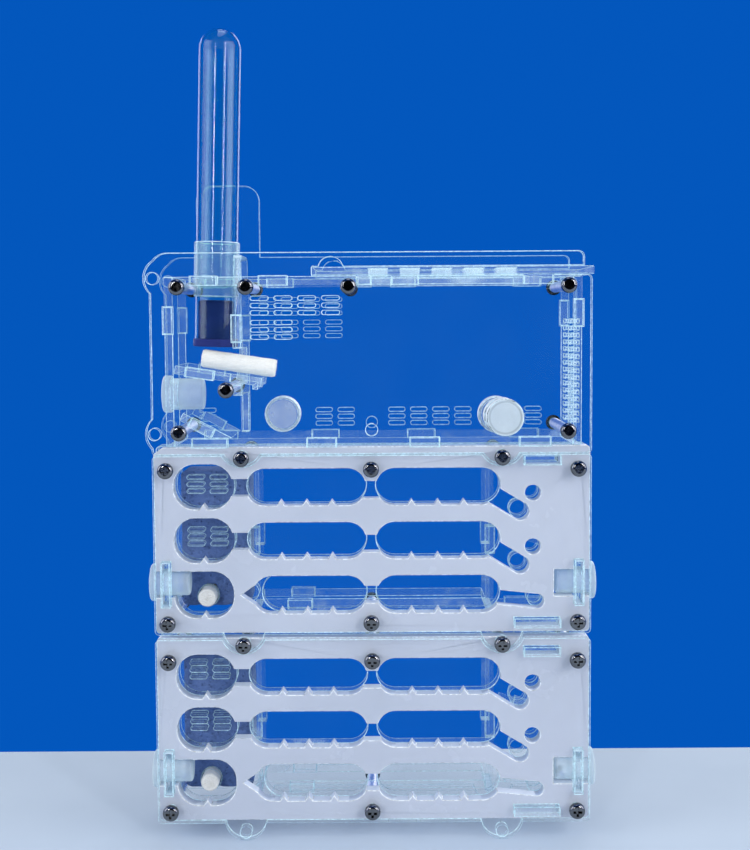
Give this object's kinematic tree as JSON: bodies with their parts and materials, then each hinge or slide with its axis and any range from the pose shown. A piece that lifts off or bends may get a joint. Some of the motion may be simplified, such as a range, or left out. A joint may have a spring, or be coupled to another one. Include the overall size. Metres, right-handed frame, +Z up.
{
  "type": "ant habitat",
  "caption": "Upright clear ant habitat: a ventilated foraging box with a sliding lid and tilted water tube over stacked nest plates with milky chamber masks.",
  "frame": {"origin": "on the ground under the middle of the nest plates, at half the depth", "axes": "+X to the right, +Y to the back, +Z up; the front plates face -Y"},
  "size_m": [0.1624, 0.0404, 0.2969],
  "materials": {
    "clear_acrylic": "gloss",
    "milky_acrylic": "gloss",
    "sponge": "matte",
    "cotton": "matte",
    "steel": "polished",
    "standoff": "polished",
    "stopper": "satin",
    "port_plug": "satin",
    "tube": "gloss",
    "collar": "gloss",
    "dish": "gloss"
  },
  "bodies": {
    "habitat": {"back_screws": "steel", "entry_ramp": "clear_acrylic", "feeding_shelf": "clear_acrylic", "feeding_wick": "cotton", "front_screws": "steel", "lower_nest_back_plate": "clear_acrylic", "lower_nest_chamber_mask": "milky_acrylic", "lower_nest_chamber_plate": "clear_acrylic", "lower_nest_cover": "clear_acrylic", "lower_nest_divider": "clear_acrylic", "lower_nest_left_partition": "clear_acrylic", "lower_nest_left_wall": "clear_acrylic", "lower_nest_middle_floor": "clear_acrylic", "lower_nest_middle_roof": "clear_acrylic", "lower_nest_moisture_sponge": "sponge", "lower_nest_right_partition": "clear_acrylic", "lower_nest_right_wall": "clear_acrylic", "lower_nest_tower_floor": "clear_acrylic", "lower_nest_tower_ramp": "clear_acrylic", "lower_nest_tower_roof": "clear_acrylic", "lower_nest_wick": "cotton", "nest_standoffs": "standoff", "outworld_back_plate": "clear_acrylic", "outworld_floor": "clear_acrylic", "outworld_front_plate": "clear_acrylic", "outworld_left_wall": "clear_acrylic", "outworld_partition": "clear_acrylic", "outworld_right_wall": "clear_acrylic", "outworld_roof": "clear_acrylic", "outworld_standoffs": "standoff", "tube_collar": "collar", "upper_nest_back_plate": "clear_acrylic", "upper_nest_chamber_mask": "milky_acrylic", "upper_nest_chamber_plate": "clear_acrylic", "upper_nest_cover": "clear_acrylic", "upper_nest_divider": "clear_acrylic", "upper_nest_left_partition": "clear_acrylic", "upper_nest_left_wall": "clear_acrylic", "upper_nest_middle_floor": "clear_acrylic", "upper_nest_middle_roof": "clear_acrylic", "upper_nest_moisture_sponge": "sponge", "upper_nest_right_partition": "clear_acrylic", "upper_nest_right_wall": "clear_acrylic", "upper_nest_tower_floor": "clear_acrylic", "upper_nest_tower_ramp": "clear_acrylic", "upper_nest_tower_roof": "clear_acrylic", "upper_nest_wick": "cotton"},
    "lid": {"sliding_lid": "clear_acrylic"},
    "water_tube_body": {"water_tube": "tube"},
    "stopper_body": {"tube_stopper": "stopper"},
    "house_plug": {"outworld_port_plug": "port_plug"},
    "lower_left_plug": {"lower_nest_left_plug": "port_plug"},
    "lower_right_plug": {"lower_nest_right_plug": "port_plug"},
    "upper_left_plug": {"upper_nest_left_plug": "port_plug"},
    "upper_right_plug": {"upper_nest_right_plug": "port_plug"},
    "front_dish": {"dish_front": "dish"},
    "middle_dish": {"dish_middle": "dish"},
    "rear_dish": {"dish_rear": "dish"},
    "left_dish": {"dish_left": "dish"}
  },
  "joints": [
    {"name": "lid_slide", "type": "slide", "parent": "habitat", "child": "lid", "axis": [1, 0, 0], "range_m": [0, 0.09]},
    {"name": "stopper_lift", "type": "slide", "parent": "habitat", "child": "stopper_body", "axis": [0.0288, 0, 0.9996], "range_m": [0, 0.0145]},
    {"name": "tube_pull", "type": "slide", "parent": "stopper_body", "child": "water_tube_body", "axis": [0.0288, 0, 0.9996], "range_m": [0, 0.1]},
    {"name": "house_plug_pull", "type": "slide", "parent": "habitat", "child": "house_plug", "axis": [-1, 0, 0], "range_m": [0, 0.02]},
    {"name": "lower_left_plug_pull", "type": "slide", "parent": "habitat", "child": "lower_left_plug", "axis": [-1, 0, 0], "range_m": [0, 0.02]},
    {"name": "lower_right_plug_pull", "type": "slide", "parent": "habitat", "child": "lower_right_plug", "axis": [1, 0, 0], "range_m": [0, 0.02]},
    {"name": "upper_left_plug_pull", "type": "slide", "parent": "habitat", "child": "upper_left_plug", "axis": [-1, 0, 0], "range_m": [0, 0.02]},
    {"name": "upper_right_plug_pull", "type": "slide", "parent": "habitat", "child": "upper_right_plug", "axis": [1, 0, 0], "range_m": [0, 0.02]},
    {"name": "front_dish_lift", "type": "slide", "parent": "habitat", "child": "front_dish", "axis": [0, 0, 1], "range_m": [0, 0.03]},
    {"name": "middle_dish_lift", "type": "slide", "parent": "habitat", "child": "middle_dish", "axis": [0, 0, 1], "range_m": [0, 0.03]},
    {"name": "rear_dish_lift", "type": "slide", "parent": "habitat", "child": "rear_dish", "axis": [0, 0, 1], "range_m": [0, 0.03]},
    {"name": "left_dish_lift", "type": "slide", "parent": "habitat", "child": "left_dish", "axis": [0, 0, 1], "range_m": [0, 0.03]}
  ]
}
